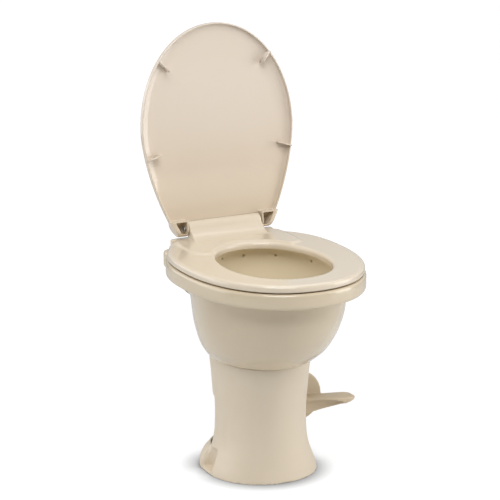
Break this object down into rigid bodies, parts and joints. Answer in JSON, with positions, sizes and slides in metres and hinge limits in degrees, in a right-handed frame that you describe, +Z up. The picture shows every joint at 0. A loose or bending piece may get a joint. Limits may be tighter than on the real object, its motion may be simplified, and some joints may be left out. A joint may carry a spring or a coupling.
{
  "type": "rv toilet",
  "caption": "low pedestal toilet for a motorhome: deep ceramic bowl on a waisted pedestal, raised lid, seat, side foot pedal that turns a half-ball flush valve",
  "frame": {"origin": "middle of the pedestal foot, on the floor, on the underside of the base plate", "axes": "+X to the right of someone who faces the toilet (the pedal side), +Y to the rear, +Z up; the bowl, seat and lid are symmetric about x = 0"},
  "size_m": [0.4193, 0.4871, 0.8994],
  "materials": {
    "bone_plastic": "glossy moulded plastic, warm bone",
    "bone_ceramic": "glazed vitreous china, warm bone",
    "grey_plastic": "plain moulded grey plastic",
    "black_plastic": "glass-filled black plastic, satin",
    "white_nylon": "off-white nylon, slightly waxy",
    "black_rubber": "soft black rubber",
    "steel": "plain stainless steel",
    "brass": "turned brass"
  },
  "bodies": {
    "base": {"pedestal": "bone_plastic", "base_plate": "grey_plastic", "floor_seal": "black_rubber", "base_screw_1": "steel", "base_screw_2": "steel", "base_screw_3": "steel", "base_screw_4": "steel", "valve_body": "black_plastic", "ball_seal": "black_rubber", "bowl_gasket": "black_rubber", "clamp_half_front": "grey_plastic", "clamp_half_rear": "grey_plastic", "clamp_screw_left": "steel", "clamp_screw_right": "steel", "bowl": "bone_ceramic", "ball_bush_front": "white_nylon", "ball_bush_rear": "white_nylon", "pedal_bracket": "black_plastic", "bracket_screw_lower": "steel", "bracket_screw_upper": "steel", "pedal_bush_front": "white_nylon", "pedal_bush_rear": "white_nylon", "return_spring": "steel", "water_valve_body": "black_plastic", "water_valve_cap": "black_plastic", "water_valve_screw_lower": "steel", "water_valve_screw_upper": "steel", "inlet_fitting": "brass", "vacuum_breaker": "black_plastic", "rim_inlet": "white_nylon", "supply_hose": "black_rubber", "rim_hose": "black_rubber", "hinge_base": "bone_plastic", "hinge_bolt_left": "white_nylon", "hinge_nut_left": "white_nylon", "hinge_pin_left": "steel", "hinge_bolt_right": "white_nylon", "hinge_nut_right": "white_nylon", "hinge_pin_right": "steel"},
    "seat": {"seat": "bone_plastic", "seat_bumper_1": "black_rubber", "seat_bumper_2": "black_rubber", "seat_bumper_3": "black_rubber", "seat_bumper_4": "black_rubber"},
    "lid": {"lid": "bone_plastic"},
    "pedal": {"pedal": "bone_plastic", "pedal_shaft": "steel", "drive_sector": "black_plastic", "water_valve_rotor": "white_nylon"},
    "ball": {"flush_ball": "white_nylon", "ball_pivot": "steel", "ball_shaft": "steel", "ball_pinion": "black_plastic"}
  },
  "joints": [
    {"name": "lid_hinge", "type": "hinge", "parent": "base", "child": "lid", "pos_m": [0, 0.168, 0.4805], "axis": [1, 0, 0], "range_deg": [0, 97.5]},
    {"name": "seat_hinge", "type": "hinge", "parent": "base", "child": "seat", "pos_m": [0, 0.168, 0.4805], "axis": [-1, 0, 0], "range_deg": [0, 95]},
    {"name": "pedal_hinge", "type": "hinge", "parent": "base", "child": "pedal", "pos_m": [0.112, 0.06, 0.124], "axis": [0, 1, 0], "range_deg": [-12, 42], "stiffness_Nm_per_rad": 6, "springref_deg": -1},
    {"name": "ball_turn", "type": "hinge", "parent": "base", "child": "ball", "pos_m": [0, 0.034, 0.15], "axis": [0, 1, 0], "range_deg": [-84, 24]}
  ],
  "couplings": [
    {"joint": "ball_turn", "follows": "pedal_hinge", "ratio": -2}
  ]
}
